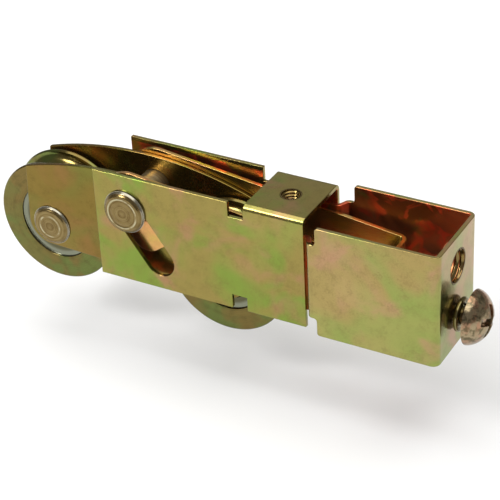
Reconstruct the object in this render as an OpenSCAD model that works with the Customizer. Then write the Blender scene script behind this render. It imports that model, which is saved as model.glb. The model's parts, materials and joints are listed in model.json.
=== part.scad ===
// Tandem roller for a sliding door, with a screw that sets its height.
// X runs along the roller, towards the adjusting screw. Y runs across it. Z is up.
// The origin is the centre of the tapped hole in the top of the sleeve, on its top face.

/* [Sleeve] */
// Length of the sleeve
sleeve_len = 66.5; // [55:0.1:80]
// Height of the sleeve and of the end bracket's walls
sleeve_h = 34.4; // [32:0.1:42]
// Thickness of the sleeve and bracket sheet
sheet = 1.3; // [1:0.1:1.6]
// Length of the bridge that joins the two sleeve walls
bridge_len = 18.4; // [15:0.1:22.2]
// Outer radius of the bends
bend_r = 2; // [1.8:0.1:3]
// Width of the relief notches beside the bridge
notch_w = 4.7; // [3:0.1:6]
// Depth of the relief notches
notch_d = 4.5; // [3:0.1:6]

/* [End bracket] */
// Length of the wide part of the end bracket
bracket_len = 35.8; // [29.8:0.1:43]
// How much wider than the sleeve the end bracket is
bracket_extra = 3.4; // [3:0.1:6]
// Depth of the end bracket's top edge below the sleeve's
bracket_drop = 0.4; // [0:0.1:1.2]
// Gap between the sleeve and the wide part of the bracket
neck_gap = 4.2; // [3.5:0.1:6]
// Length of each neck that lies inside the sleeve
neck_lap = 6; // [4:0.5:8]
// Inset of each neck from the top and bottom edges
neck_inset = 5.4; // [3:0.1:7]

/* [Mounting holes] */
// Bore radius of the tapped hole in the bridge
top_hole_r = 2.75; // [2:0.05:3.5]
// Bore radius of the tapped hole in the end wall
end_hole_r = 4.75; // [3.5:0.05:5.5]
// Depth of the end hole's centre below the top edge
end_hole_drop = 9.7; // [8.5:0.1:12]
// Length of thread in each extruded hole
thread_len = 3.6; // [2.5:0.1:4]

/* [Adjuster] */
// Height travel along the slanted slots
slot_travel = 17.5; // [12:0.1:21]
// Slope of the slots
slot_angle = 54.3; // [50:0.1:58]
// Distance from the sleeve's open end to the slot's upper centre
pin_inset = 10; // [8.3:0.1:12]
// Depth of the slot's upper centre below the top edge
pin_drop = 11.3; // [10.5:0.1:13]
// Outer radius of the barrel that rides in the slots
barrel_r = 4.55; // [3.8:0.01:5.5]
// Wall of the barrel
barrel_wall = 1.4; // [1:0.1:1.8]
// Radius of the rivet heads on the barrel
pin_head_r = 6.6; // [5.6:0.1:8]
// Height of the rivet heads on the barrel
pin_head_h = 1.8; // [1.4:0.1:2.2]
// Length of the yoke from the barrel to its end wall
yoke_len = 76.8; // [64:0.2:78]
// Thickness of the yoke and carriage plate sheet
thin_sheet = 1.2; // [1:0.1:1.5]
// Height of the screw above the bottom edge
screw_rise = 9.7; // [9:0.1:12]
// Radius of the adjusting screw's thread
screw_r = 3.175; // [2.5:0.005:3.5]
// Radius of the screw's head
screw_head_r = 7.8; // [6:0.1:8.6]
// Height of the screw's domed head
screw_head_h = 5.6; // [4:0.1:6.5]
// Distance from the end wall to the underside of the screw's head
screw_proud = 4.4; // [3:0.1:9]
// Length of screw beyond the nut
screw_tail = 2.5; // [1:0.1:5]

/* [Wheels] */
// Outer radius of the wheels
wheel_r = 19.05; // [15.8:0.05:22.9]
// Width of each wheel
wheel_w = 10; // [8.3:0.1:12]
// Gap between each wheel and the carriage plates
wheel_gap = 0.7; // [0.4:0.1:1.5]
// Radius of the groove that runs on the rail
groove_r = 3.6; // [3:0.1:3.7]
// Distance between the two axles
axle_span = 57; // [47.5:0.1:68.5]
// Depth of the axles below the barrel
axle_drop = 15.4; // [14.5:0.1:17]
// Radius of the axle rivets
axle_r = 2.4; // [2:0.05:2.6]
// Radius of the axle rivet heads
axle_head_r = 6.2; // [5:0.1:6.5]
// Nose-down tilt of the wheel carriage at rest, in degrees
carriage_tilt = 2.33; // [0:0.01:3]
// Number of balls in each wheel bearing
balls = 11; // [8:1:11]

/* [Hidden] */
$fn = 64;
eps = 0.01;

// Clearances
run_gap = 0.07;
plate_gap = 0.15;
wall_gap = 0.1;

// Layers of sheet across the roller, from the wheels outwards, as distances from its centre plane
carriage_in = wheel_w / 2 + wheel_gap;
carriage_out = carriage_in + thin_sheet;
yoke_in = carriage_out + plate_gap;
yoke_out = yoke_in + thin_sheet;
sleeve_in = yoke_out + plate_gap + sheet;
sleeve_w = 2 * (sleeve_in + sheet);
barrel_y = sleeve_w / 2 + wall_gap;

// Lengthwise places
bridge_x1 = bridge_len / 2;
bridge_x0 = -bridge_len / 2;
sleeve_x0 = bridge_x1 - sleeve_len;
bracket_x0 = bridge_x1 + neck_gap;
bracket_x1 = bracket_x0 + bracket_len;
bracket_w = sleeve_w + bracket_extra;
bracket_top = -bracket_drop;
bracket_low = -sleeve_h - bracket_drop;

// Barrel, slot and screw axis
slot_half = barrel_r + wall_gap;
pin_x = sleeve_x0 + pin_inset;
pin_z = -pin_drop;
slot_dx = slot_travel * cos(slot_angle);
slot_dz = slot_travel * sin(slot_angle);
screw_z = screw_rise - sleeve_h;
yoke_tilt = asin((pin_z - screw_z) / yoke_len);
nut_x = pin_x + yoke_len * cos(yoke_tilt);

// Outline of the yoke's arms, in the yoke's own frame with the barrel at its centre
yoke_end_r = 9.8;
yoke_top = 10.8;
yoke_end_top = 15;
yoke_end_low = -8.5;
yoke_waist = -2;
foot_r = 5;
foot_x = 6.2;
foot_z = -7.6;
yoke_wall_x = yoke_len + thin_sheet / 2;
screw_play = 1.5;

// Nut, whose crowned face stays clear of the yoke's end wall at any tilt
nut_len = 6;
nut_w = 2 * yoke_in - 2.6;
nut_h = 11;
nut_crown_r = 9;
nut_crown_x = nut_x - (thin_sheet / 2 + plate_gap + nut_crown_r) / cos(yoke_tilt);
nut_face_x = nut_crown_x + nut_crown_r;

// Outline of the carriage plates, in the carriage's own frame
plate_arch_r = 106;
plate_top = 9;
plate_end = axle_span / 2 + 8;
plate_low = -axle_drop - 7;
plate_corner_r = 7;

// Wheel section
shell_sheet = 1.2;
half_w = wheel_w / 2;
recess_r = 11.9;
recess_y = half_w - 0.7;
rim_r = (half_w - groove_r) / 2;
shell_bore_r = 8.4;
race_out_r = 10.5;
race_in_r = 7;
ball_pitch_r = 6.1;
ball_r = 1.5;
ball_track_r = ball_r + 0.1;
cone_r = 5.2;
cone_y = recess_y - 0.6;
hub_r = 3.8;
head_h = 1.4;

// Flat shape drawn in X and Z, given thickness from y0 to y1
module upright(y0, y1) {
    translate([0, y1, 0])
        rotate([90, 0, 0])
            linear_extrude(y1 - y0)
                children();
}

// Round bar along Y
module bar_y(r, y0, y1) {
    upright(y0, y1)
        circle(r);
}

// Round bar along X
module bar_x(r, x0, x1) {
    translate([x0, 0, 0])
        rotate([0, 90, 0])
            cylinder(r = r, h = x1 - x0);
}

// Shape with a section of radius and distance, turned about the Y axis
module turned_y() {
    rotate([-90, 0, 0])
        rotate_extrude()
            children();
}

// Rectangle from y = 0 up to h, with its two top corners rounded
module round_top(w, h, r) {
    translate([-w / 2, 0])
        square([w, h - r]);
    translate([r - w / 2, 0])
        square([w - 2 * r, h]);
    for (side = [-1, 1])
        translate([side * (w / 2 - r), h - r])
            circle(r);
}

// Sheet bent to a U, seen end on, open at the bottom
module bent_sheet(w, h, t, r) {
    difference() {
        round_top(w, h, r);
        translate([0, -eps])
            round_top(w - 2 * t, h - t + eps, r - t);
    }
}

// Domed rivet head that starts at y = 0 and points along +Y, with a shallow spun ring
module rivet_head(r, h) {
    turned_y()
        difference() {
            union() {
                square([r - h / 2, h]);
                square([r, h / 2]);
                translate([r - h / 2, h / 2])
                    circle(h / 2, $fn = 24);
            }
            translate([0, -h])
                square([r + h, h]);
            translate([r * 0.66, h])
                circle(h / 6, $fn = 16);
        }
}

// Moves a shape from the frame of the wheel carriage to its place
module in_carriage() {
    translate([pin_x, 0, pin_z])
        rotate([0, carriage_tilt, 0])
            children();
}

// Moves a shape from the centre of one wheel to its place
module at_wheel(side) {
    in_carriage()
        translate([side * axle_span / 2, 0, -axle_drop])
            children();
}

// Points along an arc, from angle a0 to angle a1
function arc(x, z, r, a0, a1, steps = 24) =
    [for (i = [0 : steps]) let (a = a0 + (a1 - a0) * i / steps) [x + r * cos(a), z + r * sin(a)]];

// Slanted slot, drawn in X and Z
module slot_outline() {
    polygon(concat(
        arc(pin_x, pin_z, slot_half, 90 - slot_angle, 270 - slot_angle),
        arc(pin_x + slot_dx, pin_z - slot_dz, slot_half, 270 - slot_angle, 450 - slot_angle)
    ));
}

// One sleeve wall with its notches and its slot, left low where the bridge's bends join it
module sleeve_wall_outline() {
    difference() {
        translate([sleeve_x0, -sleeve_h])
            square([sleeve_len, sleeve_h]);
        translate([bridge_x0 - notch_w, -notch_d])
            square([sleeve_len, notch_d + 1]);
        translate([bridge_x0 - notch_w, -sleeve_h - 1])
            square([notch_w, notch_d + 1]);
        slot_outline();
    }
}

module housing_sleeve() {
    color("#b3b06b")
        difference() {
            union() {
                for (y0 = [-sleeve_w / 2, sleeve_in])
                    upright(y0, y0 + sheet)
                        sleeve_wall_outline();
                translate([bridge_x0, 0, -sleeve_h])
                    rotate([90, 0, 90])
                        linear_extrude(bridge_len)
                            bent_sheet(sleeve_w, sleeve_h, sheet, bend_r);
                translate([0, 0, -thread_len])
                    cylinder(r = top_hole_r + sheet, h = thread_len - eps);
            }
            translate([0, 0, -thread_len - 1])
                cylinder(r = top_hole_r, h = thread_len + 2);
        }
}

// Bracket seen from above: a U with a closed end, and two necks stepped inwards by two small bends
module bracket_plan() {
    step_angle = 64;
    step_r = 0.4;
    mid_r = step_r + sheet / 2;
    rise = bracket_w / 2 - sleeve_in;
    straight = (rise - 2 * mid_r * (1 - cos(step_angle))) / tan(step_angle);
    x0 = bridge_x1 + wall_gap;
    x1 = x0 + straight + 2 * mid_r * sin(step_angle);
    low_y = sleeve_in + step_r;
    high_y = bracket_w / 2 - sheet - step_r;
    translate([x1, 0])
        rotate(-90)
            bent_sheet(bracket_w, bracket_x1 - x1, sheet, bend_r + 0.2);
    for (side = [-1, 1])
        scale([1, side])
            polygon(concat(
                [[bridge_x1 - neck_lap, sleeve_in - sheet]],
                arc(x0, low_y, step_r + sheet, -90, step_angle - 90, 8),
                arc(x1, high_y, step_r, 90 + step_angle, 90, 8),
                [[x1 + eps, bracket_w / 2 - sheet], [x1 + eps, bracket_w / 2]],
                arc(x1, high_y, step_r + sheet, 90, 90 + step_angle, 8),
                arc(x0, low_y, step_r, step_angle - 90, -90, 8),
                [[bridge_x1 - neck_lap, sleeve_in]]
            ));
}

// Bracket seen from the side: full height past the notches, lower at the necks
module bracket_side() {
    edge_r = 0.8;
    notch_r = 1;
    notch_x = bracket_x0 - notch_r;
    far_x = bracket_x1 + 1;
    neck_top = bracket_top - neck_inset;
    neck_low = bracket_low + neck_inset;
    polygon(concat(
        [[far_x, bracket_top]],
        arc(bracket_x0 + edge_r, bracket_top - edge_r, edge_r, 90, 180, 8),
        arc(notch_x, neck_top + notch_r, notch_r, 0, -90, 8),
        [[0, neck_top], [0, neck_low]],
        arc(notch_x, neck_low - notch_r, notch_r, 90, 0, 8),
        arc(bracket_x0 + edge_r, bracket_low + edge_r, edge_r, 180, 270, 8),
        [[far_x, bracket_low]]
    ));
}

module end_bracket() {
    end_hole_z = -end_hole_drop;
    color("#b8b27a")
        difference() {
            union() {
                intersection() {
                    translate([0, 0, bracket_low - 1])
                        linear_extrude(sleeve_h + 2)
                            bracket_plan();
                    upright(-bracket_w, bracket_w)
                        bracket_side();
                }
                translate([0, 0, end_hole_z])
                    bar_x(end_hole_r + sheet, bracket_x1 - thread_len, bracket_x1 - eps);
            }
            translate([0, 0, end_hole_z])
                bar_x(end_hole_r, bracket_x1 - thread_len - 1, bracket_x1 + 1);
            translate([0, 0, screw_z])
                bar_x(screw_r + run_gap, bracket_x1 - sheet - 1, bracket_x1 + 1);
        }
}

// Domed head seen from the side, as radius and height
module screw_head_section() {
    dome_r = (screw_head_r * screw_head_r + screw_head_h * screw_head_h) / (2 * screw_head_h);
    intersection() {
        square([screw_head_r, screw_head_h]);
        translate([0, screw_head_h - dome_r])
            circle(dome_r, $fn = 128);
    }
}

module adjusting_screw() {
    head_x = bracket_x1 + screw_proud;
    recess_w = 1.5;
    recess_len = 8;
    recess_depth = 3;
    color("#8f8666")
        translate([0, 0, screw_z]) {
            bar_x(screw_r, nut_face_x - nut_len - screw_tail, head_x + eps);
            difference() {
                translate([head_x, 0, 0])
                    rotate([0, 90, 0])
                        rotate_extrude()
                            screw_head_section();
                for (turn = [0, 90])
                    rotate([turn, 0, 0])
                        translate([head_x + screw_head_h - recess_depth, -recess_w / 2, -recess_len / 2])
                            cube([recess_depth + 1, recess_w, recess_len]);
            }
        }
}

module screw_retaining_ring() {
    ring_x = bracket_x1 + 0.7;
    ring_w = 1.2;
    ring_wall = 1.7;
    color("#a39a70")
        translate([0, 0, screw_z])
            difference() {
                bar_x(screw_r + ring_wall, ring_x, ring_x + ring_w);
                bar_x(screw_r, ring_x - 1, ring_x + ring_w + 1);
            }
}

module adjuster_nut() {
    color("#9c9468")
        difference() {
            intersection() {
                translate([nut_face_x - nut_len, -nut_w / 2, screw_z - nut_h / 2])
                    cube([nut_len, nut_w, nut_h]);
                translate([nut_crown_x, 0, screw_z])
                    bar_y(nut_crown_r, -nut_w, nut_w);
            }
            translate([0, 0, screw_z])
                bar_x(screw_r + run_gap, nut_face_x - nut_len - 1, nut_face_x + 1);
        }
}

// Side outline of the yoke: a round end, a foot below it, a waist and the end wall
module yoke_outline() {
    polygon(concat(
        [[yoke_wall_x, yoke_end_top]],
        arc(0, yoke_top - yoke_end_r, yoke_end_r, 92, 270),
        arc(foot_x, foot_z, foot_r, 200, 310),
        [
            [foot_x + 2.5 * foot_r, yoke_waist],
            [yoke_len - 15, yoke_waist],
            [yoke_len - 7, yoke_end_low],
            [yoke_wall_x, yoke_end_low]
        ]
    ));
}

module adjusting_yoke() {
    color("#a8803f")
        translate([pin_x, 0, pin_z])
            rotate([0, yoke_tilt, 0])
                difference() {
                    intersection() {
                        upright(-yoke_out - 1, yoke_out + 1)
                            yoke_outline();
                        translate([-yoke_end_r - 1, 0, foot_z - 2 * foot_r])
                            linear_extrude(yoke_end_top - foot_z + 3 * foot_r)
                                rotate(-90)
                                    bent_sheet(2 * yoke_out, yoke_wall_x + yoke_end_r + 1, thin_sheet, 2.4);
                    }
                    bar_y(barrel_r + run_gap, -yoke_out - 1, yoke_out + 1);
                    for (rise = [-screw_play, screw_play])
                        translate([0, 0, rise])
                            bar_x(screw_r + 0.5, yoke_len - 3, yoke_len + 3);
                }
}

module pivot_barrel() {
    color("#b9b28c")
        translate([pin_x, 0, pin_z])
            difference() {
                bar_y(barrel_r, -barrel_y, barrel_y);
                bar_y(barrel_r - barrel_wall, -barrel_y - 1, barrel_y + 1);
            }
}

module pivot_rivet() {
    color("#bcae84")
        translate([pin_x, 0, pin_z]) {
            bar_y(barrel_r - barrel_wall, -barrel_y - eps, barrel_y + eps);
            for (side = [-1, 1])
                scale([1, side, 1])
                    translate([0, barrel_y, 0])
                        rivet_head(pin_head_r, pin_head_h);
        }
}

// One side plate of the wheel carriage: an arched top and two rounded bottom corners
module carriage_plate_outline() {
    difference() {
        intersection() {
            translate([0, plate_top - plate_arch_r])
                circle(plate_arch_r, $fn = 256);
            rotate(180)
                translate([0, -plate_top])
                    round_top(2 * plate_end, plate_top - plate_low, plate_corner_r);
        }
        circle(barrel_r + run_gap);
        for (side = [-1, 1])
            translate([side * axle_span / 2, -axle_drop])
                circle(axle_r);
    }
}

module carriage_plate(side) {
    color("#b0a566")
        in_carriage()
            scale([1, side, 1])
                upright(carriage_in, carriage_out)
                    carriage_plate_outline();
}

module axle_rivet(side) {
    color("#b5a06a")
        at_wheel(side) {
            bar_y(axle_r, -carriage_out - eps, carriage_out + eps);
            for (face = [-1, 1])
                scale([1, face, 1])
                    translate([0, carriage_out, 0])
                        rivet_head(axle_head_r, head_h);
        }
}

// Inner race of one wheel bearing, with hubs that space it between the carriage plates
module inner_race(side) {
    color("#a9a99c")
        at_wheel(side)
            turned_y()
                difference() {
                    union() {
                        translate([axle_r, -carriage_in])
                            square([hub_r - axle_r, 2 * carriage_in]);
                        translate([axle_r, -cone_y])
                            square([cone_r - axle_r, 2 * cone_y]);
                    }
                    translate([ball_pitch_r, 0])
                        circle(ball_track_r);
                }
}

module outer_race(side) {
    seat_y = recess_y - shell_sheet;
    color("#a9a99c")
        at_wheel(side)
            turned_y()
                difference() {
                    translate([race_in_r, -seat_y])
                        square([race_out_r - race_in_r, 2 * seat_y]);
                    translate([ball_pitch_r, 0])
                        circle(ball_track_r);
                }
}

module bearing_balls(side) {
    color("#c8c8c4")
        at_wheel(side)
            for (i = [0 : balls - 1])
                rotate([0, i * 360 / balls, 0])
                    translate([ball_pitch_r, 0, 0])
                        sphere(ball_r, $fn = 32);
}

// Section of one pressed half of a wheel: half the groove, the flange, and a sunk centre
module shell_section() {
    difference() {
        translate([shell_bore_r, 0])
            square([wheel_r - rim_r - shell_bore_r, half_w]);
        translate([wheel_r, 0])
            circle(groove_r);
        translate([shell_bore_r - 1, recess_y])
            square([recess_r - shell_bore_r + 1, half_w]);
        translate([shell_bore_r - 1, -1])
            square([recess_r + shell_sheet - shell_bore_r + 1, recess_y - shell_sheet + 1]);
        difference() {
            translate([recess_r + shell_sheet - 1, -1])
                square([wheel_r, half_w - shell_sheet + 1]);
            translate([wheel_r, 0])
                circle(groove_r + shell_sheet);
        }
    }
    translate([wheel_r - rim_r, half_w - rim_r])
        circle(rim_r, $fn = 24);
}

module wheel_shell(side, face) {
    color("#9fa060")
        at_wheel(side)
            scale([1, face, 1])
                turned_y()
                    shell_section();
}

housing_sleeve();
end_bracket();
adjusting_screw();
screw_retaining_ring();
adjuster_nut();
adjusting_yoke();
pivot_barrel();
pivot_rivet();
carriage_plate(-1);  // carriage_plate_near
carriage_plate(1);  // carriage_plate_far
axle_rivet(-1);  // axle_rivet_left
axle_rivet(1);  // axle_rivet_right
inner_race(-1);  // inner_race_left
inner_race(1);  // inner_race_right
bearing_balls(-1);  // bearing_balls_left
bearing_balls(1);  // bearing_balls_right
outer_race(-1);  // outer_race_left
outer_race(1);  // outer_race_right
wheel_shell(-1, -1);  // wheel_shell_near_left
wheel_shell(-1, 1);  // wheel_shell_far_left
wheel_shell(1, -1);  // wheel_shell_near_right
wheel_shell(1, 1);  // wheel_shell_far_right
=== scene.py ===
"""Looks of a tandem sliding door roller: pressed and plated steel, spun rivets and a threaded screw."""

import json
from math import radians

import bmesh
import bpy
import numpy as np
from mathutils import Matrix, Vector


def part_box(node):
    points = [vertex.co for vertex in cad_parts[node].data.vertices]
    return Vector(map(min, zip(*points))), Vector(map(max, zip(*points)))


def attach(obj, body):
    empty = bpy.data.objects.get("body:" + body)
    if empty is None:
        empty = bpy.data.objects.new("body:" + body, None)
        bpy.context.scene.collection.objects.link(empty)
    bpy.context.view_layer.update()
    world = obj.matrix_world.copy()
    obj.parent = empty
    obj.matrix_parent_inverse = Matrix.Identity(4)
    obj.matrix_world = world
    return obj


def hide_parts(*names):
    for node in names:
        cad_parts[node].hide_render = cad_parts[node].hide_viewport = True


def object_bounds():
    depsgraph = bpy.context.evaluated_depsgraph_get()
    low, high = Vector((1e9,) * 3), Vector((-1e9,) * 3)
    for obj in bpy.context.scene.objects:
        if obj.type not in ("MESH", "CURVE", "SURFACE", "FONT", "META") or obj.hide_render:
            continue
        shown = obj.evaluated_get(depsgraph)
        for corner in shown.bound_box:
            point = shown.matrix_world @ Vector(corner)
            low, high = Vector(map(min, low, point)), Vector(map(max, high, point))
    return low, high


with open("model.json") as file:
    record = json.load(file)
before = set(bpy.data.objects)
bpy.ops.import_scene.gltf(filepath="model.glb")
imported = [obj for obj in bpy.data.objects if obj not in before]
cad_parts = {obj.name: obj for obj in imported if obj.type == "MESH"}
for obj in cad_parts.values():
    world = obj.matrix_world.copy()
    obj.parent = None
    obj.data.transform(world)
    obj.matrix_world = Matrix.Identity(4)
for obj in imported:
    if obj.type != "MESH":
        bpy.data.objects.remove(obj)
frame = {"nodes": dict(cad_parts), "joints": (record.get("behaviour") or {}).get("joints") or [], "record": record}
cad_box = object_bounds()
joints = {joint["name"]: joint for joint in frame["joints"]}
mounts = {mount["name"]: mount for mount in frame["record"]["mounts"]}

MM = 0.001
TAU = 2 * np.pi

# Rounding of the sheet's edges, and how far in from its outer face the painted inside shade and reflection start
SHEET_EDGE = 0.22 * MM
PLATE_EDGE = 0.28 * MM
SHADE_INSET = 1.2 * MM

# Steps round a turned piece
ROUND_STEPS = 192
WHEEL_STEPS = 256

# Radius of the sunk bearing seat in the wheels' faces
SEAT_RADIUS = 11.9 * MM

# Pitches of the threads
SCREW_PITCH = 1.27 * MM
TOP_PITCH = 1.06 * MM
END_PITCH = 1.59 * MM

# How metallic the plated and the spun surfaces are
PLATED = 0.96
SPUN = 0.95

# Heights between which the green film of the plating thickens, where the bath drained
DRAIN_TOP = -8 * MM
DRAIN_FOOT = -34 * MM

# Colours of the plating, as linear red, green and blue; the ones marked below carry painted light or shade
GOLD = (0.285, 0.225, 0.064)
GREEN = (0.20, 0.275, 0.048)
PINK = (0.37, 0.195, 0.105)
PALE_GOLD = (0.355, 0.268, 0.096)
PALE_GREEN = (0.26, 0.315, 0.080)
PALE_PINK = (0.44, 0.245, 0.145)
PLATE_GOLD = (0.20, 0.138, 0.030)
PLATE_OLIVE = (0.158, 0.16, 0.033)
PLATE_PINK = (0.245, 0.13, 0.042)
# Painted shade and painted reflection on the inner faces of the carriage plates
PLATE_INSIDE_SHADE = (0.30, 0.17, 0.05)
# The yoke's colours, brighter and oranger than the sleeve's: partly plating, partly painted reflection of warm
# light inside the sleeve
YOKE_GOLD = (0.60, 0.33, 0.12)
YOKE_GREEN = (0.50, 0.38, 0.09)
YOKE_PINK = (0.62, 0.25, 0.12)
SCREW_GOLD = (0.29, 0.215, 0.115)
SCREW_OLIVE = (0.19, 0.165, 0.065)
SCREW_PINK = (0.46, 0.25, 0.15)
HEAD_PALE = (0.33, 0.26, 0.155)
HEAD_DARK = (0.085, 0.07, 0.034)
HEAD_PINK = (0.38, 0.22, 0.13)
# Darker plating of the threads: painted shade inside the tapped holes
THREAD_SHADED_GOLD = (0.22, 0.15, 0.05)
THREAD_SHADED_OLIVE = (0.17, 0.14, 0.045)
# Painted shade and painted reflection inside the bent sheet: a warm red-brown, and a green for patches in it
INSIDE_SHADE_AND_REFLECTION = (0.66, 0.25, 0.10)
INSIDE_REFLECTION_GREEN = (0.26, 0.28, 0.07)

# Colours of the wheels, the rivets and the bearings
OLIVE = (0.158, 0.142, 0.042)
OLIVE_GREEN = (0.128, 0.158, 0.042)
WHEEL_BROWN = (0.178, 0.122, 0.038)
WHEEL_WORN = (0.085, 0.072, 0.022)
SEAT_PALE = (0.20, 0.21, 0.15)
# Painted shade of the sunk centre and the gap by the bearing
SEAT_SHADE = (0.10, 0.095, 0.05)
TAN = (0.25, 0.185, 0.075)
BROWN = (0.135, 0.088, 0.028)
RING_PALE = (0.50, 0.46, 0.29)
# Painted highlight on the rims of the rivet heads
RIM_HIGHLIGHT = (0.36, 0.34, 0.27)
BARREL_PALE = (0.64, 0.55, 0.36)
BARREL_TAN = (0.40, 0.30, 0.15)
BEARING_GREY = (0.55, 0.54, 0.50)
BEARING_DARK = (0.50, 0.50, 0.46)
BEARING_WARM = (0.58, 0.52, 0.45)


# ---------------------------------------------------------------- surfaces

def grid_faces(rows, columns, closed):
    """Quads of a grid of points whose every row is a ring; if closed, the last row joins the first."""
    i = np.arange(rows if closed else rows - 1)
    j = np.arange(columns)
    i, j = np.meshgrid(i, j, indexing="ij")
    i1 = (i + 1) % rows
    j1 = (j + 1) % columns
    quads = (i * columns + j, i1 * columns + j, i1 * columns + j1, i * columns + j1)
    return np.stack([quad.ravel() for quad in quads], 1)


def make_piece(name, points, faces, smooth_angle=40):
    """A mesh object at the origin from points and faces, with doubles merged and faces outwards."""
    mesh = bpy.data.meshes.new(name)
    mesh.from_pydata(points.reshape(-1, 3).tolist(), [], faces.tolist())
    shape = bmesh.new()
    shape.from_mesh(mesh)
    bmesh.ops.remove_doubles(shape, verts=shape.verts, dist=2e-7)
    bmesh.ops.recalc_face_normals(shape, faces=shape.faces)
    shape.to_mesh(mesh)
    shape.free()
    mesh.shade_smooth()
    mesh.set_sharp_from_angle(angle=radians(smooth_angle))
    piece = bpy.data.objects.new(name, mesh)
    bpy.context.collection.objects.link(piece)
    return piece


def turned(name, section, centre, axis="Y", steps=ROUND_STEPS):
    """A closed section of (radius, distance) points carried round an axis through centre.

    Each point goes to centre + distance * axis + radius * (cos t * u + sin t * v)."""
    section = np.asarray(section)
    t = np.linspace(0, TAU, steps, endpoint=False)
    radius, along = section[:, :1], section[:, 1:]
    u, v = radius * np.cos(t), radius * np.sin(t)
    w = along + 0 * t
    points = np.stack({"Y": (u, w, v), "X": (w, u, v), "Z": (u, v, w)}[axis], -1)
    points = points + np.asarray(centre)
    return make_piece(name, points, grid_faces(len(section), steps, True))


def arc(centre, radius, start, end, count):
    """Points at equal angles along an arc, in degrees."""
    t = np.radians(np.linspace(start, end, count))
    return np.stack([centre[0] + radius * np.cos(t), centre[1] + radius * np.sin(t)], 1)


def rounded(corners, radius, steps=4):
    """A closed outline whose corners are cut back by radius and joined by a curved stretch.

    Each corner p becomes the quadratic curve (1-s)^2 a + 2 s (1-s) p + s^2 b, from the point a before it
    to the point b after it, as s goes from 0 to 1."""
    corners = np.asarray(corners, float)
    before = np.roll(corners, 1, 0) - corners
    after = np.roll(corners, -1, 0) - corners
    lengths = [np.linalg.norm(way, axis=1, keepdims=True) for way in (before, after)]
    reach = np.minimum(radius, 0.45 * np.minimum(*lengths))
    a = corners + before / lengths[0] * reach
    b = corners + after / lengths[1] * reach
    s = np.linspace(0, 1, steps)[:, None, None]
    curve = (1 - s) ** 2 * a + 2 * s * (1 - s) * corners + s ** 2 * b
    return curve.transpose(1, 0, 2).reshape(-1, 2)


def smooth_step(x):
    """0 below 0, 1 above 1 and a smooth rise between."""
    x = np.clip(x, 0, 1)
    return x * x * (3 - 2 * x)


# ---------------------------------------------------------------- shader maths

class Wire:
    """A socket of a node tree that Python's operators can be used on."""

    def __init__(self, tree, socket):
        self.tree, self.socket = tree, socket

    def maths(self, operation, *others, flip=False):
        """One Math node on this socket and the others, in the other order if flip is set."""
        terms = [self, *others]
        if flip:
            terms.reverse()
        return node(self.tree, "ShaderNodeMath", {"operation": operation}, dict(enumerate(terms)))

    def __add__(self, other):
        return self.maths("ADD", other)

    def __radd__(self, other):
        return self.maths("ADD", other)

    def __sub__(self, other):
        return self.maths("SUBTRACT", other)

    def __rsub__(self, other):
        return self.maths("SUBTRACT", other, flip=True)

    def __mul__(self, other):
        return self.maths("MULTIPLY", other)

    def __rmul__(self, other):
        return self.maths("MULTIPLY", other)

    def unsigned(self):
        """The value without its sign."""
        return self.maths("ABSOLUTE")

    def ramp(self, low, high):
        """0 at low, 1 at high and a smooth rise between."""
        settings = {"interpolation_type": "SMOOTHSTEP"}
        inputs = {"Value": self, "From Min": low, "From Max": high}
        return node(self.tree, "ShaderNodeMapRange", settings, inputs)


def node(tree, kind, settings=None, inputs=None, output=0):
    """Adds one node, its settings first and then its inputs' values or links, and gives an output."""
    made = tree.nodes.new(kind)
    for key, value in (settings or {}).items():
        setattr(made, key, value)
    for key, value in (inputs or {}).items():
        socket = made.inputs[key]
        if isinstance(value, Wire):
            tree.links.new(value.socket, socket)
        else:
            socket.default_value = value
    return Wire(tree, made.outputs[output])


def mix_colour(tree, factor, a, b):
    """Colour a at factor 0 and colour b at factor 1."""
    a, b = (value if isinstance(value, Wire) else (*value, 1) for value in (a, b))
    return node(tree, "ShaderNodeMix", {"data_type": "RGBA"}, {0: factor, 6: a, 7: b}, output=2)


def noise(tree, place, scale, detail=3, distortion=0.0, roughness=0.5):
    """Soft random value about 0.5, in clouds about 1 / scale metres across."""
    inputs = {"Vector": place, "Scale": scale, "Detail": detail, "Distortion": distortion}
    return node(tree, "ShaderNodeTexNoise", {}, inputs | {"Roughness": roughness})


def new_finish(name, metallic):
    """A new material, its tree, its shader node, and the place on the piece in metres."""
    finish = bpy.data.materials.new(name)
    finish.use_nodes = True
    tree = finish.node_tree
    shader = tree.nodes["Principled BSDF"]
    shader.inputs["Metallic"].default_value = metallic
    place = node(tree, "ShaderNodeTexCoord", output=3)
    return finish, tree, shader, place


def feed(tree, shader, **wires):
    """Links wires to the shader's sockets by name, with _ for a space."""
    for name, wire in wires.items():
        tree.links.new(wire.socket, shader.inputs[name.replace("_", " ")])


def bump(tree, height, strength, distance):
    """Surface slopes from a height value."""
    inputs = {"Height": height, "Strength": strength, "Distance": distance}
    return node(tree, "ShaderNodeBump", {}, inputs)


def axes_of(tree, place):
    """The three coordinates of a place as separate wires."""
    split = node(tree, "ShaderNodeSeparateXYZ", {}, {"Vector": place}).socket.node
    return [Wire(tree, output) for output in split.outputs]


def dimmed(colour, *shares):
    """A colour with each part taken by its own share, or all by the same one."""
    shares = shares * 3 if len(shares) == 1 else shares
    return tuple(share * part for share, part in zip(shares, colour))


def inside_of(tree, place, half_width, top=None, end=None):
    """1 on the inner side of bent sheet: nearer the middle than half_width, below top and short of end."""
    x, y, z = axes_of(tree, place)
    soft = 0.08 * MM
    mask = y.unsigned().ramp(half_width + soft, half_width - soft)
    if top is not None:
        mask = z.ramp(top + soft, top - soft) * mask
    if end is not None:
        mask = x.ramp(end + soft, end - soft) * mask
    return mask


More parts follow.
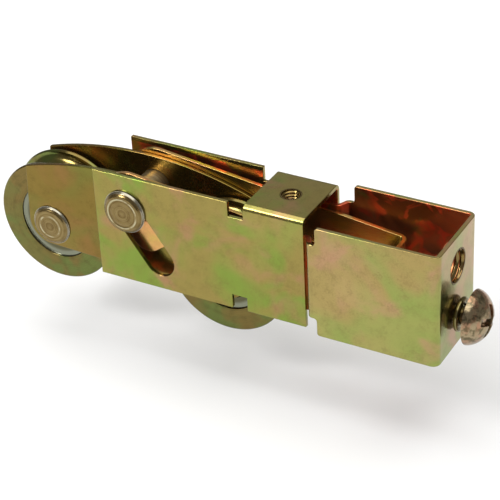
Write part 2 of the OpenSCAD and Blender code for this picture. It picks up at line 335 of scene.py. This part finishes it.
def yellow_zinc(name, gold, green, pink, inner=None, inside=None, roughness=0.2, shift=0.0, tint=1.0):
    """Yellow passivated zinc: gold with drifting green and pink films, fine grain and faint rub marks.

    The green film is thicker low down, where the bath drained. Where the mask of inside is 1 the colour is that of
    inner, browner and redder, with darker patches, red streaks and green patches: painted shade and painted
    reflection inside the bent sheet, on a duller surface."""
    finish, tree, shader, place = new_finish(name, PLATED)
    moved = node(tree, "ShaderNodeMapping", {}, {"Vector": place, "Location": (shift, 2 * shift, -shift)})

    # Films in broad patches
    drained = axes_of(tree, place)[2].ramp(DRAIN_TOP, DRAIN_FOOT)
    broad = noise(tree, moved, 52, 2, 0.7)
    drift = noise(tree, moved, 74, 3, 0.5)
    cloud = noise(tree, moved, 33, 2, 0.3)
    colour = mix_colour(tree, (broad + drained * 0.06).ramp(0.42, 0.64) * tint, gold, green)
    colour = mix_colour(tree, drift.ramp(0.47, 0.69) * (0.85 * tint), colour, pink)
    pale = tuple(1.15 * part + 0.012 for part in gold)
    colour = mix_colour(tree, cloud.ramp(0.50, 0.68) * 0.5, colour, pale)

    # Fine stains and rub marks
    blotch = noise(tree, moved, 330, 4)
    grain = noise(tree, moved, 1900, 3, 0.0, 0.75)
    stained = (blotch * 0.45 + grain * 0.55).ramp(0.46, 0.66) * 0.42
    colour = mix_colour(tree, stained, colour, dimmed(gold, 0.58))
    rough = roughness + 0.12 * (blotch - 0.5) + 0.14 * (grain - 0.5)
    # Painted shade and painted reflection inside the bent sheet: darker patches, red streaks and green patches
    # over a warm red-brown
    if inside:
        mask = inside_of(tree, place, **inside)
        painted_inside = mix_colour(tree, broad.ramp(0.40, 0.60), inner, dimmed(inner, 0.38))
        streak = noise(tree, moved, 120, 2, 1.2)
        painted_inside = mix_colour(tree, streak.ramp(0.50, 0.62) * 0.85, painted_inside, dimmed(inner, 1.25, 0.6, 0.7))
        painted_inside = mix_colour(tree, drift.ramp(0.54, 0.66) * 0.7, painted_inside, INSIDE_REFLECTION_GREEN)
        colour = mix_colour(tree, mask, colour, painted_inside)
        rough = rough + mask * 0.12
    feed(tree, shader, Base_Color=colour, Roughness=rough)
    relief = grain * 0.4 + blotch + broad * 2
    feed(tree, shader, Normal=bump(tree, relief, 0.20, 0.05 * MM))
    return finish


def tarnished(name, pale, dark, pink):
    """Handled zinc of the screw's head: clouds of pale, pink and nearly black film on a pitted skin."""
    finish, tree, shader, place = new_finish(name, PLATED)
    cloud = noise(tree, place, 260, 3, 0.8)
    film = noise(tree, place, 520, 4, 0.6)
    pits = noise(tree, place, 1700, 3, 0.0, 0.7)
    colour = mix_colour(tree, cloud.ramp(0.45, 0.60), pale, pink)
    colour = mix_colour(tree, (film * 0.7 + pits * 0.3).ramp(0.46, 0.60) * 0.8, colour, dark)
    feed(tree, shader, Base_Color=colour, Roughness=0.19 + 0.16 * (film - 0.5) + 0.1 * (pits - 0.5))
    feed(tree, shader, Normal=bump(tree, film + pits * 0.7, 0.35, 0.10 * MM))
    return finish


def radius_from(tree, place, centre, mask):
    """Distance of a place from an axis through centre; mask is 0 along the axis and 1 across it."""
    centred = node(tree, "ShaderNodeVectorMath", {"operation": "SUBTRACT"}, {0: place, 1: centre})
    flat = node(tree, "ShaderNodeVectorMath", {"operation": "MULTIPLY"}, {0: centred, 1: mask})
    return node(tree, "ShaderNodeVectorMath", {"operation": "LENGTH"}, {0: flat}, output=1)


def uneven_rings(tree, radius, size):
    """Random value that depends on the radius alone, so that it makes rings of uneven width."""
    line = node(tree, "ShaderNodeCombineXYZ", {}, {"X": radius * (1 / size)})
    return noise(tree, line, 1.0, 4, 0.0, 0.65)


def spun_steel(name, colour, dark, centre, mask, ring_size=0.7 * MM, roughness=0.24, head=None, ring=0.0):
    """Spun rivet steel: uneven rings round the rivet's axis, tan plating and darker stained places.

    A head of radius head is pale on a thin ring, at the share ring of its radius, and its rim
    is silver all round: a painted highlight of the bevel."""
    finish, tree, shader, place = new_finish(name, SPUN)
    radius = radius_from(tree, place, centre, mask)
    rings = uneven_rings(tree, radius, ring_size)
    mottle = noise(tree, place, 380, 4, 0.4)
    tint = mix_colour(tree, rings.ramp(0.40, 0.60) * 0.7 + mottle.ramp(0.4, 0.7) * 0.4, colour, dark)
    if head:
        off_ring = (radius - ring * head).unsigned()
        pale_ring = off_ring.ramp(0.34 * MM, 0.10 * MM) * mottle.ramp(0.35, 0.55)
        tint = mix_colour(tree, pale_ring * 0.8, tint, RING_PALE)
        # Silver rim: painted highlight of the bevel
        tint = mix_colour(tree, radius.ramp(0.91 * head, 0.97 * head), tint, RIM_HIGHLIGHT)
    fine = noise(tree, place, 3000, 2)
    rough = roughness + 0.12 * (mottle - 0.5) + 0.12 * (fine - 0.5) + 0.1 * (rings - 0.5)
    feed(tree, shader, Base_Color=tint, Roughness=rough)
    feed(tree, shader, Normal=bump(tree, rings + mottle * 0.4, 0.35, 0.08 * MM))
    return finish


def wheel_steel(name, centre, seat):
    """Pressed wheel: olive gold plating stained brown, faint turning rings, and a pale bearing seat
    inside radius seat that darkens towards the axle: painted shade of the sunk centre and the gap by the bearing."""
    finish, tree, shader, place = new_finish(name, PLATED)
    radius = radius_from(tree, place, centre, (1, 0, 1))
    rings = uneven_rings(tree, radius, 1.1 * MM)
    broad = noise(tree, place, 75, 2, 0.6)
    mottle = noise(tree, place, 420, 4)
    colour = mix_colour(tree, broad.ramp(0.42, 0.60), OLIVE, OLIVE_GREEN)
    brown = noise(tree, place, 105, 3, 0.4)
    colour = mix_colour(tree, brown.ramp(0.42, 0.58) * 0.85, colour, WHEEL_BROWN)
    worn = rings.ramp(0.45, 0.65) * 0.4 + mottle.ramp(0.45, 0.7) * 0.35
    colour = mix_colour(tree, worn, colour, WHEEL_WORN)
    colour = mix_colour(tree, radius.ramp(seat + 0.1 * MM, seat - 0.1 * MM), colour, SEAT_PALE)
    # Painted shade towards the axle, in the sunk centre
    colour = mix_colour(tree, radius.ramp(seat - 1.0 * MM, seat - 2.2 * MM), colour, SEAT_SHADE)
    rough = 0.17 + 0.1 * (mottle - 0.5) + 0.08 * (rings - 0.5)
    feed(tree, shader, Base_Color=colour, Roughness=rough)
    feed(tree, shader, Normal=bump(tree, rings * 0.7 + mottle * 0.5, 0.2, 0.05 * MM))
    return finish


# ---------------------------------------------------------------- pieces

def pressed(name, edge):
    """The CAD node as pressed sheet: its flat faces joined and every sharp edge rounded a little."""
    flat = radians(0.6)
    sharp = radians(32)
    shape = bmesh.new()
    shape.from_mesh(frame["nodes"][name].data)
    bmesh.ops.remove_doubles(shape, verts=shape.verts, dist=2e-6)
    bmesh.ops.dissolve_limit(
        shape, angle_limit=flat, verts=shape.verts, edges=shape.edges, use_dissolve_boundaries=False
    )
    mesh = bpy.data.meshes.new(name + "_pressed")
    shape.to_mesh(mesh)
    shape.free()
    mesh.shade_smooth()
    mesh.set_sharp_from_angle(angle=sharp)
    piece = bpy.data.objects.new(name + "_pressed", mesh)
    bpy.context.collection.objects.link(piece)
    rounding = piece.modifiers.new("rounded edges", "BEVEL")
    rounding.width = edge
    rounding.segments = 3
    rounding.limit_method = "ANGLE"
    rounding.angle_limit = sharp
    rounding.harden_normals = True
    rounding.use_clamp_overlap = True
    return piece


def finish_piece(piece, finish, body, slot, *nodes):
    """Gives a piece its finish, its body and the CAD nodes that it stands for."""
    piece.data.materials.clear()
    piece.data.materials.append(finish)
    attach(piece, body)
    if nodes:
        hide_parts(*nodes)
    return piece


def middle(name):
    """Centre of a CAD node's box."""
    low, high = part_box(name)
    return (low + high) / 2


def half_length(name):
    """Half the length of a CAD node's box along X, the radius of a round one."""
    low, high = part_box(name)
    return (high.x - low.x) / 2


def rivet_section(low, high, shank, head, height, groove):
    """Section of a rivet along its axis: a shank between two low heads.

    The height of a face at the share r of its radius is height * (1 - 0.10 r^2), with a raised ring at
    groove, a shallow ring inside it, fine turning marks nearer the middle, and a bevel near the rim."""
    r = np.concatenate([np.linspace(0, 0.86, 44), 0.86 + 0.14 * np.sin(np.linspace(0.1, 0.5, 12) * np.pi)])
    ring = np.exp(-((r - groove) / 0.035) ** 2) - 0.6 * np.exp(-((r - groove + 0.09) / 0.04) ** 2)
    swirl = 0.02 * np.cos(r * TAU * 4) * smooth_step((groove - 0.1 - r) / 0.2)
    bevel = 0.30 * smooth_step((r - 0.80) / 0.13) + 0.45 * smooth_step((r - 0.90) / 0.10) ** 2
    face = height * (1 - 0.10 * r ** 2 + 0.09 * ring + swirl - bevel).clip(0.22, 1)
    top = np.stack([r * head, high + face], 1)
    bottom = np.stack([r[::-1] * head, low - face[::-1]], 1)
    shaft = np.array([[head * 0.99, high], [shank, high], [shank, low], [head * 0.99, low]])
    return np.concatenate([top, shaft, bottom])


def rivet(name, finish, body, inner_half, groove):
    """A rivet along Y that fills its CAD node's box, with its heads outside the distance inner_half."""
    centre = middle(name)
    shank = 2.4 * MM
    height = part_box(name)[1].y - inner_half
    section = rivet_section(-inner_half, inner_half, shank, half_length(name), height, groove)
    piece = turned(name + "_spun", section, (centre.x, 0, centre.z))
    return finish_piece(piece, finish, body, "rivet", name)


def wheel_shell(side, face, finish):
    """Half of a wheel, turned from its section: the groove's arc, a full round rim, a flat flange, a
    sunk centre and the inside of the sheet."""
    name = f"wheel_shell_{'near' if face < 0 else 'far'}_{side}"
    low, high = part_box(name)
    centre = middle(name)
    radius = half_length(name)
    half = high.y - low.y
    groove = 3.6 * MM
    sheet = 1.2 * MM
    rim = (half - groove) / 2
    step = half - 0.7 * MM
    bore = 8.4 * MM
    corner_points = 6
    sunk = rounded([
        (SEAT_RADIUS + 1.5 * MM, half), (SEAT_RADIUS, half), (SEAT_RADIUS, step),
        (bore, step), (bore, step - sheet), (SEAT_RADIUS + sheet, step - sheet),
        (SEAT_RADIUS + sheet, step - sheet - 0.6 * MM)
    ], 0.35 * MM, corner_points)
    outline = np.concatenate([
        arc((radius, 0), groove, 180, 96, 24),
        arc((radius - rim, half - rim), rim, -20, 90, 10),
        sunk[corner_points:-corner_points],
        arc((radius, 0), groove + sheet, 140, 180, 16),
    ])
    outline[:, 1] *= face
    piece = turned(name + "_turned", outline, (centre.x, 0, centre.z), steps=WHEEL_STEPS)
    return finish_piece(piece, finish, f"wheel_{side}", "wheel", name)


def barrel(finish):
    """The plain barrel between the rivet heads, a tube with softened ends."""
    low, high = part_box("pivot_barrel")
    centre = middle("pivot_barrel")
    outer = half_length("pivot_barrel")
    inner = outer - 1.2 * MM
    section = rounded([(outer, low.y), (outer, high.y), (inner, high.y), (inner, low.y)], 0.3 * MM)
    piece = turned("pivot_barrel_turned", section, (centre.x, 0, centre.z))
    return finish_piece(piece, finish, "pivot", "rivet", "pivot_barrel")


def threaded_shank(name, x0, x1, major, pitch, centre):
    """A screw thread along X, whose radius falls from major into a valley that climbs one pitch each turn.

    The valley at angle t and place x is a flat-topped saw of (x / pitch - t / one turn), and the first
    turn and a half taper to a thinner end."""
    depth = 0.62 * pitch
    taper_length = 1.5 * pitch
    taper_depth = 0.5 * pitch
    steps = 96
    rows_per_turn = 10
    count = int((x1 - x0) / pitch * rows_per_turn)
    x = np.linspace(x0, x1, count)[:, None]
    t = np.linspace(0, TAU, steps, endpoint=False)[None, :]
    phase = (x - x0) / pitch - t / TAU
    saw = np.abs((phase % 1) - 0.5) * 2
    valley = np.clip(saw * 1.25 - 0.12, 0, 1)
    taper = smooth_step((x - x0) / taper_length)
    radius = major - depth * valley - (1 - taper) * taper_depth
    points = np.stack([x + 0 * t, radius * np.cos(t), radius * np.sin(t)], -1)
    cap0 = np.broadcast_to([x0, 0, 0], (1, steps, 3))
    cap1 = np.broadcast_to([x1, 0, 0], (1, steps, 3))
    points = np.concatenate([cap0, points, cap1]) + np.array([0, centre.y, centre.z])
    return make_piece(name, points, grid_faces(len(points), steps, False), 55)


def tapped_ring(name, place, axis, radius, length, pitch):
    """The thread inside a tapped hole: a closed ring whose inner wall is a smooth climbing ridge.

    The inner radius at angle t and depth s is radius less the ridge of (s / pitch - t / one turn), which
    fades out over one pitch at each end."""
    depth = 0.45 * pitch
    play = 0.02 * MM
    wall = 0.35 * MM
    steps = 96
    rows_per_turn = 12
    s = np.linspace(0, length, int(length / pitch * rows_per_turn))[:, None]
    t = np.linspace(0, TAU, steps, endpoint=False)[None, :]
    ridge = 1 - np.abs(((s / pitch - t / TAU) % 1) - 0.5) * 2
    fade = smooth_step(s / pitch) * smooth_step((length - s) / pitch)
    inner = radius + play - depth * smooth_step(ridge) * fade
    outer = np.broadcast_to(radius + wall, inner.shape)
    r = np.concatenate([inner, outer[::-1]])
    along = np.concatenate([s + 0 * t, (s + 0 * t)[::-1]])
    u, v = r * np.cos(t), r * np.sin(t)
    points = np.stack({"X": (-along, u, v), "Z": (u, v, -along)}[axis], -1) + np.asarray(place)
    return make_piece(name, points, grid_faces(len(points), steps, True), 60)


def screw_head(name, x0, radius, height, centre, finish):
    """A domed head along X with a cross recess pressed into it and a flared underside.

    Dome height at radius r is height * (1 - (r / radius)^2.2) ^ 0.62; the recess sinks where either arm
    of the turned cross is near, deepest at the middle. The underside flares from the neck to the rim
    with radius neck + (radius - neck) * s^2.2 as s goes from 0 to 1 along the flare."""
    steps = 256
    rim = 0.75 + 0.25 * np.sin(np.linspace(0.02, 0.5, 30) * np.pi)
    r = np.concatenate([np.linspace(0, 0.75, 90), rim])[:, None]
    t = np.linspace(0, TAU, steps, endpoint=False)[None, :]
    y, z = r * np.cos(t) * radius, r * np.sin(t) * radius
    dome = height * (1 - r ** 2.2).clip(0) ** 0.62 + 0 * t
    arm = 0.95 * MM
    reach = 4.7 * MM
    deepest = 2.6 * MM
    turn = radians(24)
    across = y * np.cos(turn) - z * np.sin(turn)
    along = y * np.sin(turn) + z * np.cos(turn)

    def blade(side, length):
        """1 inside one arm of the cross, with slanting walls and a tapering end."""
        wall = smooth_step((arm + 0.15 * MM - np.abs(side)) / (0.3 * MM))
        return wall * smooth_step((reach - np.abs(length)) / (0.7 * MM))

    cross = np.maximum(blade(across, along), blade(along, across))
    depth = cross * (deepest * (1 - 0.45 * np.sqrt(y ** 2 + z ** 2) / reach))
    top = np.stack([x0 + dome - depth, y, z], -1)
    s = np.linspace(1, 0, 24)[:, None]
    neck = 3.3 * MM
    skirt = 1.9 * MM
    flare = neck + (radius - neck) * s ** 2.2
    under = np.stack([x0 - skirt * (1 - s) + 0 * t, flare * np.cos(t), flare * np.sin(t)], -1)
    end = np.broadcast_to([x0 - skirt, 0, 0], (1, steps, 3))
    points = np.concatenate([top, under[1:], end]) + np.array([0, centre.y, centre.z])
    piece = make_piece(name, points, grid_faces(len(points), steps, False), 50)
    return finish_piece(piece, finish, "screw", "screw")


def adjusting_screw(finish, head_finish):
    """The threaded shank and the domed head, which together stand for the CAD screw."""
    low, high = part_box("adjusting_screw")
    centre = middle("adjusting_screw")
    head_radius = (high.z - low.z) / 2
    head_height = 5.6 * MM
    head_x = high.x - head_height
    major = 3.17 * MM
    lap = 0.3 * MM
    shank = threaded_shank("adjusting_screw_shank", low.x, head_x + lap, major, SCREW_PITCH, centre)
    finish_piece(shank, finish, "screw", "screw", "adjusting_screw")
    screw_head("adjusting_screw_head", head_x, head_radius, head_height, centre, head_finish)


def retaining_ring(finish):
    """The ring on the screw: a rounded washer."""
    low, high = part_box("screw_retaining_ring")
    centre = middle("screw_retaining_ring")
    outer = (high.z - low.z) / 2
    inner = 3.0 * MM
    section = rounded([(outer, low.x), (outer, high.x), (inner, high.x), (inner, low.x)], 0.5 * MM, 6)
    piece = turned("screw_retaining_ring_turned", section, (0, 0, centre.z), axis="X")
    return finish_piece(piece, finish, "screw", "screw", "screw_retaining_ring")


# ---------------------------------------------------------------- scene

def camera():
    """The camera, placed in the frame, aimed at a point on the middle plane and rolled a little."""
    place = Vector((0.20889, -0.37989, 0.25931))
    aim = Vector((-0.01380, 0.0, -0.02166))
    roll = radians(3.034)
    data = bpy.data.cameras.new("camera")
    data.sensor_width = 36
    data.lens = 133.97
    data.clip_start = 0.01
    eye = bpy.data.objects.new("camera", data)
    bpy.context.collection.objects.link(eye)
    turn = (aim - place).to_track_quat("-Z", "Y").to_matrix().to_4x4()
    eye.matrix_world = Matrix.Translation(place) @ turn @ Matrix.Rotation(-roll, 4, "Z")
    bpy.context.scene.camera = eye


def soft_light(name, place, aim, size, power):
    """A rectangular white lamp that faces aim."""
    data = bpy.data.lights.new(name, "AREA")
    data.shape = "RECTANGLE"
    data.size, data.size_y = size
    data.energy = power
    lamp = bpy.data.objects.new(name, data)
    lamp.location = place
    lamp.rotation_euler = (Vector(aim) - Vector(place)).to_track_quat("-Z", "Y").to_euler()
    bpy.context.collection.objects.link(lamp)
    return lamp


def lay_floor():
    """A pale floor just below the lowest place that the wheels come down to."""
    slide = joints["height_adjust"]
    lowering = slide["range_m"][1] * abs(slide["axis"][2])
    rocking = 2.4 * MM
    floor_z = cad_box[0][2] - lowering - rocking
    half = 3.0
    corners = [(half * x, half * y, floor_z) for x, y in ((-1, -1), (1, -1), (1, 1), (-1, 1))]
    mesh = bpy.data.meshes.new("floor")
    mesh.from_pydata(corners, [], [(0, 1, 2, 3)])
    floor = bpy.data.objects.new("floor", mesh)
    bpy.context.collection.objects.link(floor)
    paint = bpy.data.materials.new("floor_paint")
    paint.use_nodes = True
    shader = paint.node_tree.nodes["Principled BSDF"]
    shader.inputs["Base Color"].default_value = (0.92, 0.92, 0.92, 1)
    shader.inputs["Roughness"].default_value = 0.9
    shader.inputs["Specular IOR Level"].default_value = 0.1
    mesh.materials.append(paint)


def studio():
    """A dim warm room with a large lamp overhead, a small one in front and a wide weak one behind.

    Each lamp has a place, a point it faces, a width and height in metres, and a power in watts."""
    world = bpy.data.worlds.new("room")
    world.use_nodes = True
    background = world.node_tree.nodes["Background"]
    background.inputs["Color"].default_value = (1, 0.98, 0.95, 1)
    background.inputs["Strength"].default_value = 0.28
    bpy.context.scene.world = world
    lamps = [
        soft_light("overhead", (0.0, -0.1, 1.6), (0, 0, -0.02), (2.0, 2.0), 30.0),
        soft_light("key", (-0.42, -0.50, 0.55), (-0.01, 0, -0.02), (0.22, 0.22), 3.0),
        soft_light("far_card", (-0.66, 1.10, 0.84), (-0.01, 0, -0.02), (1.3, 0.7), 0.75),
    ]
    bpy.context.scene.view_settings.view_transform = "Standard"


# ---------------------------------------------------------------- the roller

def sheet_metal():
    """The sleeve, the bracket, the yoke and the carriage plates as pressed sheet."""
    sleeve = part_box("housing_sleeve")[1]
    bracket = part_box("end_bracket")[1]
    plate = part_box("carriage_plate_far")[1]
    sleeve_zinc = yellow_zinc(
        "yellow_zinc_sleeve", GOLD, GREEN, PINK, INSIDE_SHADE_AND_REFLECTION,
        {"half_width": sleeve.y - SHADE_INSET, "top": -SHADE_INSET}
    )
    bracket_zinc = yellow_zinc(
        "yellow_zinc_bracket", PALE_GOLD, PALE_GREEN, PALE_PINK, INSIDE_SHADE_AND_REFLECTION,
        {"half_width": bracket.y - SHADE_INSET, "end": bracket.x - SHADE_INSET}, shift=0.031
    )
    plate_zinc = yellow_zinc(
        "yellow_zinc_plates", PLATE_GOLD, PLATE_OLIVE, PLATE_PINK, PLATE_INSIDE_SHADE,
        {"half_width": plate.y - SHADE_INSET}, shift=0.013, tint=0.8
    )
    yoke_zinc = yellow_zinc("yellow_zinc_yoke", YOKE_GOLD, YOKE_GREEN, YOKE_PINK, shift=0.07)
    for name, edge, finish, body, slot in (
        ("housing_sleeve", SHEET_EDGE, sleeve_zinc, "housing", "yellow_zinc"),
        ("end_bracket", SHEET_EDGE, bracket_zinc, "housing", "yellow_zinc"),
        ("adjusting_yoke", SHEET_EDGE, yoke_zinc, "yoke", "yellow_zinc_inside"),
        ("carriage_plate_near", PLATE_EDGE, plate_zinc, "carriage", "yellow_zinc"),
        ("carriage_plate_far", PLATE_EDGE, plate_zinc, "carriage", "yellow_zinc"),
    ):
        finish_piece(pressed(name, edge), finish, body, slot, name)


def rivets():
    """The barrel's rivet, the two axle rivets and the barrel, each with rings about its own axis."""
    plate_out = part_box("carriage_plate_far")[1].y
    barrel_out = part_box("pivot_barrel")[1].y
    across = (1, 0, 1)
    for name, body, inner_half, groove in (
        ("pivot_rivet", "pivot", barrel_out, 0.70),
        ("axle_rivet_left", "carriage", plate_out, 0.55),
        ("axle_rivet_right", "carriage", plate_out, 0.55),
    ):
        head = half_length(name)
        steel = spun_steel(
            name + "_steel", TAN, BROWN, tuple(middle(name)), across, head=head, ring=groove
        )
        rivet(name, steel, body, inner_half, groove)
    lengthwise = (0, 1, 0)
    barrel(spun_steel("barrel_steel", BARREL_PALE, BARREL_TAN, (0, 0, 0), lengthwise, 1.3 * MM, 0.34))


def wheels():
    """Both wheels' halves, and the bearings' CAD nodes with a ground steel finish."""
    bearing = yellow_zinc(
        "ground_bearing_steel", BEARING_GREY, BEARING_DARK, BEARING_WARM, roughness=0.15, shift=0.02
    )
    for side in ("left", "right"):
        centre = middle(f"wheel_shell_near_{side}")
        wheel_zinc = wheel_steel(f"pressed_wheel_{side}", tuple(centre), SEAT_RADIUS)
        for face in (-1, 1):
            wheel_shell(side, face, wheel_zinc)
        for part in ("inner_race", "outer_race", "bearing_balls"):
            cad = frame["nodes"][f"{part}_{side}"]
            cad.data.materials.clear()
            cad.data.materials.append(bearing)


def tapped_holes():
    """The threads in the two mounting holes, placed and sized by the mounts themselves."""
    # The threads' darker colour is painted shade inside the holes
    shaded_thread_zinc = yellow_zinc("shaded_yellow_zinc_threads", THREAD_SHADED_GOLD, THREAD_SHADED_OLIVE, PINK, roughness=0.14)
    for name, hole, axis, pitch in (
        ("top_hole_thread", mounts["top_mounting_hole"], "Z", TOP_PITCH),
        ("end_hole_thread", mounts["end_mounting_hole"], "X", END_PITCH),
    ):
        size = hole["dims"]
        ring = tapped_ring(name, hole["pos_m"], axis, size["r_mm"] * MM, size["length_mm"] * MM, pitch)
        finish_piece(ring, shaded_thread_zinc, "housing", "yellow_zinc")


camera()
lay_floor()
studio()
sheet_metal()
screw_zinc = yellow_zinc(
    "yellow_zinc_screw", SCREW_GOLD, SCREW_OLIVE, SCREW_PINK, roughness=0.17, shift=0.09
)
finish_piece(pressed("adjuster_nut", PLATE_EDGE), screw_zinc, "nut", "screw", "adjuster_nut")
rivets()
wheels()
adjusting_screw(screw_zinc, tarnished("tarnished_screw_head", HEAD_PALE, HEAD_DARK, HEAD_PINK))
retaining_ring(screw_zinc)
tapped_holes()
